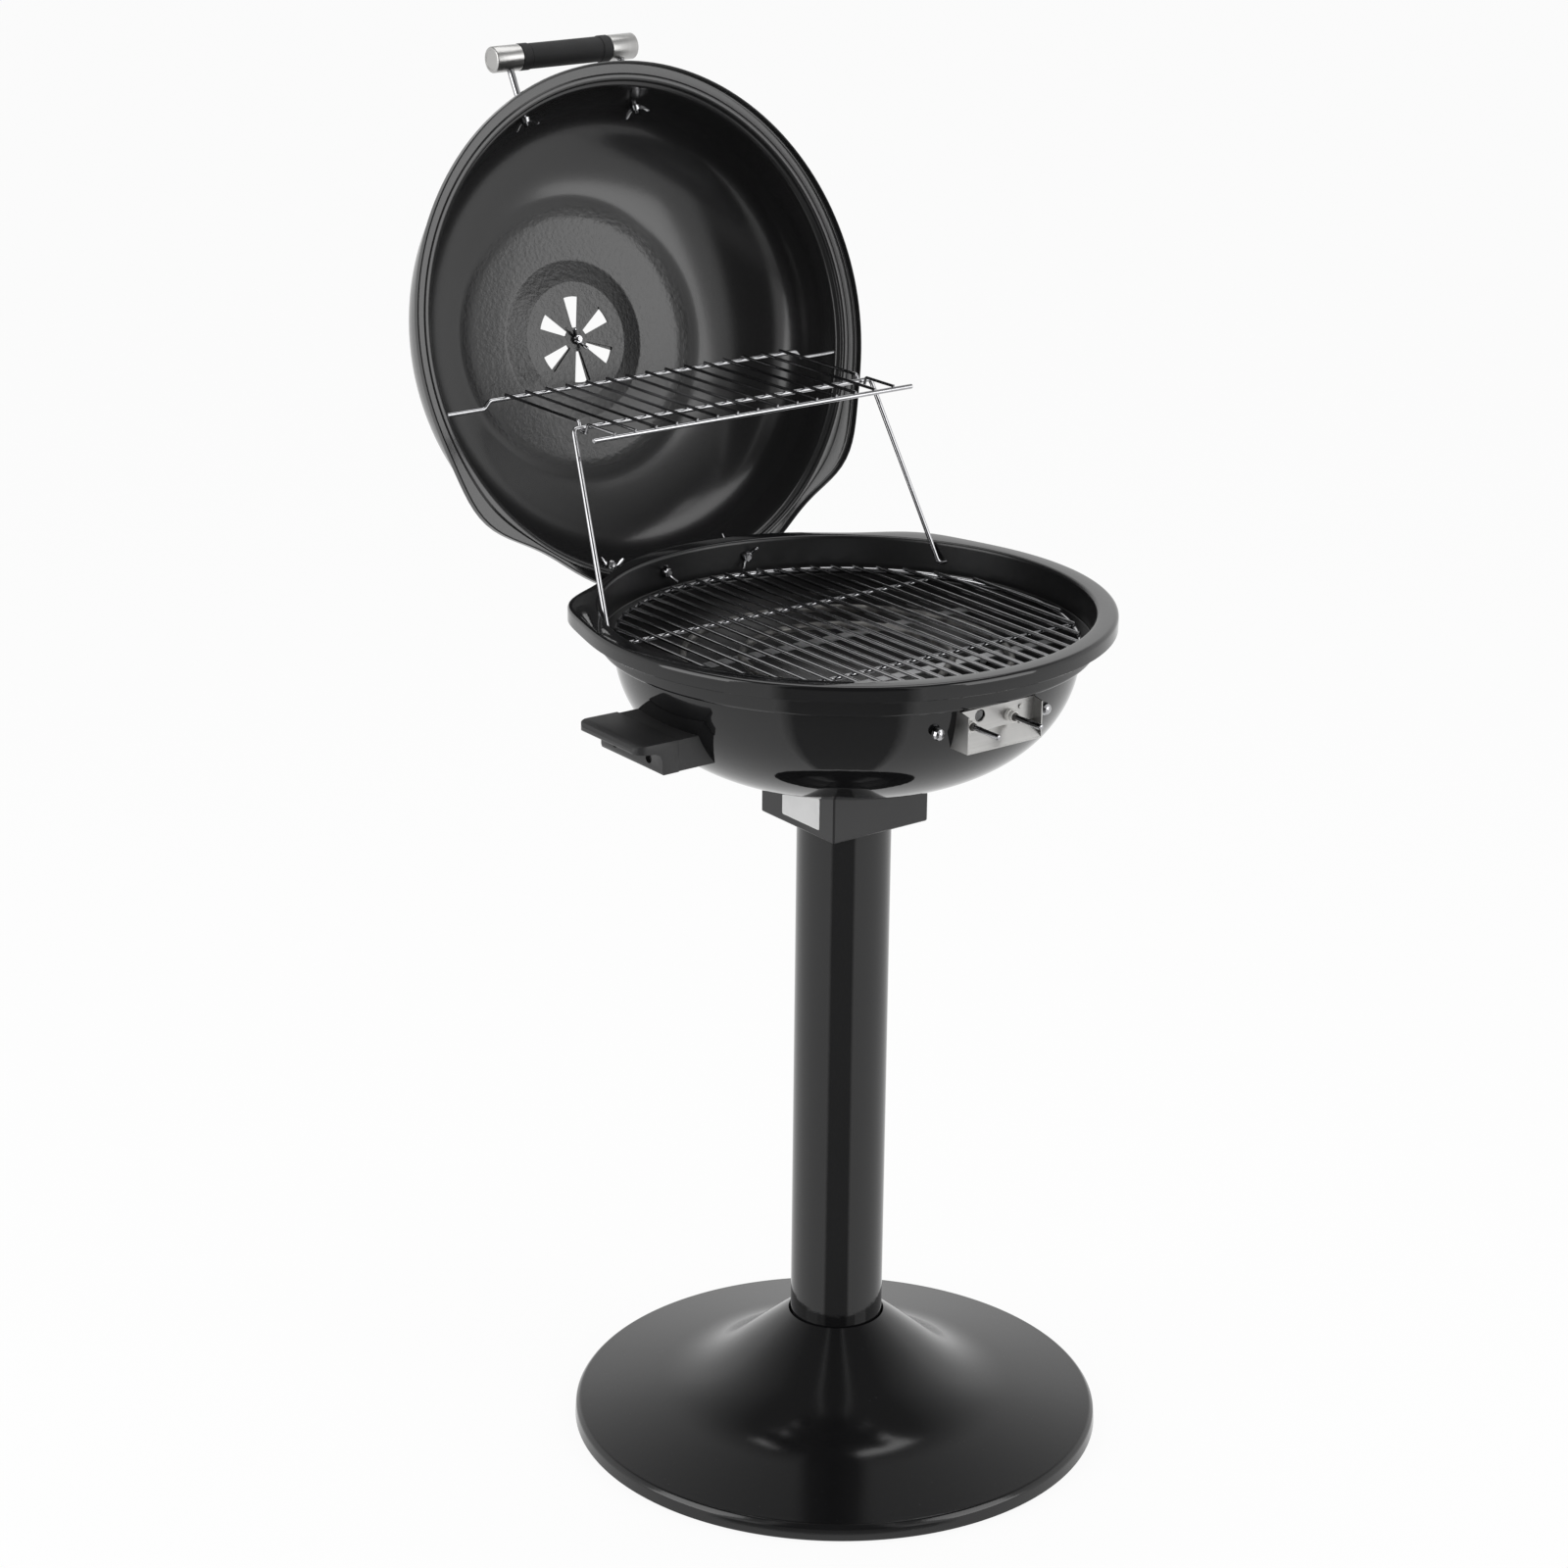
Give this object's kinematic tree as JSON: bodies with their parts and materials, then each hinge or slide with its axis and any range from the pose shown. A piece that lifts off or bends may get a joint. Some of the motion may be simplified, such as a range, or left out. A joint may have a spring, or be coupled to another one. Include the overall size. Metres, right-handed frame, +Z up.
{
  "type": "electric grill",
  "caption": "Round electric kettle grill on a pedestal stand: domed lid hinged open, warming rack raised above the main grate, side handles and a power inlet bracket at the front.",
  "frame": {"origin": "centre of the base plate's underside, on the floor", "axes": "+X to the grill's right as its user faces it, -Y to its front where the power inlet is, +Z up"},
  "size_m": [0.532, 0.7294, 1.2721],
  "materials": {
    "gloss_black_enamel": "glossy baked enamel",
    "satin_black_paint": "satin paint",
    "dark_grey_enamel": "satin enamel with a fine orange-peel texture",
    "black_plastic": "fine matt grain",
    "black_rubber": "matt",
    "brushed_steel": "brushed",
    "chrome_wire": "bright plated",
    "black_zinc_plate": "black plated steel",
    "zinc_plate": "zinc plated",
    "element_sheath": "heat-darkened sheath",
    "white_ceramic": "unglazed ceramic",
    "aluminium_pan": "plain rolled aluminium"
  },
  "bodies": {
    "stand": {"base_cover": "satin_black_paint", "base_bottom_plate": "satin_black_paint", "pole_socket": "satin_black_paint", "socket_screw_1": "zinc_plate", "socket_screw_2": "zinc_plate", "socket_screw_3": "zinc_plate", "pole": "gloss_black_enamel"},
    "head": {"support_box": "black_plastic", "box_spigot": "zinc_plate", "bowl_mount_plate": "zinc_plate", "bowl_bolt_1": "zinc_plate", "bowl_bolt_2": "zinc_plate", "bowl_bolt_3": "zinc_plate", "bowl_bolt_4": "zinc_plate", "bowl": "gloss_black_enamel", "side_handle_left": "black_plastic", "side_handle_right": "black_plastic", "side_handle_spacer_left": "black_plastic", "side_handle_spacer_right": "black_plastic", "side_handle_screw_left_front": "zinc_plate", "side_handle_screw_left_back": "zinc_plate", "side_handle_screw_right_front": "zinc_plate", "side_handle_screw_right_back": "zinc_plate", "control_bracket": "brushed_steel", "bracket_bolt_left": "chrome_wire", "bracket_bolt_right": "chrome_wire", "bracket_nut_left": "zinc_plate", "bracket_nut_right": "zinc_plate", "terminal_bushing_left": "white_ceramic", "terminal_bushing_right": "white_ceramic", "heating_element": "element_sheath", "element_rail_front": "zinc_plate", "element_rail_back": "zinc_plate", "drip_pan": "aluminium_pan", "hinge_lower_leaf": "black_zinc_plate", "hinge_pin": "zinc_plate", "bowl_hinge_bolt_left": "zinc_plate", "bowl_hinge_bolt_right": "zinc_plate", "bowl_hinge_wing_nut_left": "chrome_wire", "bowl_hinge_wing_nut_right": "chrome_wire"},
    "lid": {"lid": "dark_grey_enamel", "hinge_upper_leaf": "black_zinc_plate", "lid_hinge_bolt_left": "zinc_plate", "lid_hinge_bolt_right": "zinc_plate", "lid_hinge_wing_nut_left": "chrome_wire", "lid_hinge_wing_nut_right": "chrome_wire", "damper_bolt": "zinc_plate", "damper_wing_nut": "chrome_wire", "lid_handle_grip": "black_rubber", "lid_handle_core": "zinc_plate", "lid_handle_cap_left": "brushed_steel", "lid_handle_cap_right": "brushed_steel", "lid_handle_post_left": "chrome_wire", "lid_handle_post_right": "chrome_wire", "lid_handle_wing_nut_left": "chrome_wire", "lid_handle_wing_nut_right": "chrome_wire"},
    "damper": {"vent_damper": "dark_grey_enamel"},
    "rack": {"warming_rack": "chrome_wire"},
    "bail": {"rack_bail": "chrome_wire"},
    "grate": {"main_grate": "chrome_wire"}
  },
  "joints": [
    {"name": "head_lift", "type": "slide", "parent": "stand", "child": "head", "axis": [0, 0, 1], "range_m": [0, 0.05]},
    {"name": "lid_hinge", "type": "hinge", "parent": "head", "child": "lid", "pos_m": [0, 0.2335, 0.7971], "axis": [1, 0, 0], "range_deg": [0, 105.5]},
    {"name": "rack_pivot", "type": "hinge", "parent": "lid", "child": "rack", "pos_m": [0, 0.3173, 0.9633], "axis": [1, 0, 0], "range_deg": [-105.5, 0]},
    {"name": "bail_pivot", "type": "hinge", "parent": "head", "child": "bail", "pos_m": [0, 0.1048, 0.8032], "axis": [1, 0, 0], "range_deg": [0, 105.5]},
    {"name": "vent_damper_turn", "type": "hinge", "parent": "lid", "child": "damper", "pos_m": [0, 0.43717, 0.98293], "axis": [0, 0.9636, -0.2672], "range_deg": [-4, 26]},
    {"name": "grate_lift", "type": "slide", "parent": "head", "child": "grate", "axis": [0, 0, 1], "range_m": [0, 0.06]}
  ],
  "couplings": [
    {"joint": "rack_pivot", "follows": "lid_hinge", "ratio": -1},
    {"joint": "bail_pivot", "follows": "lid_hinge", "ratio": 1}
  ]
}
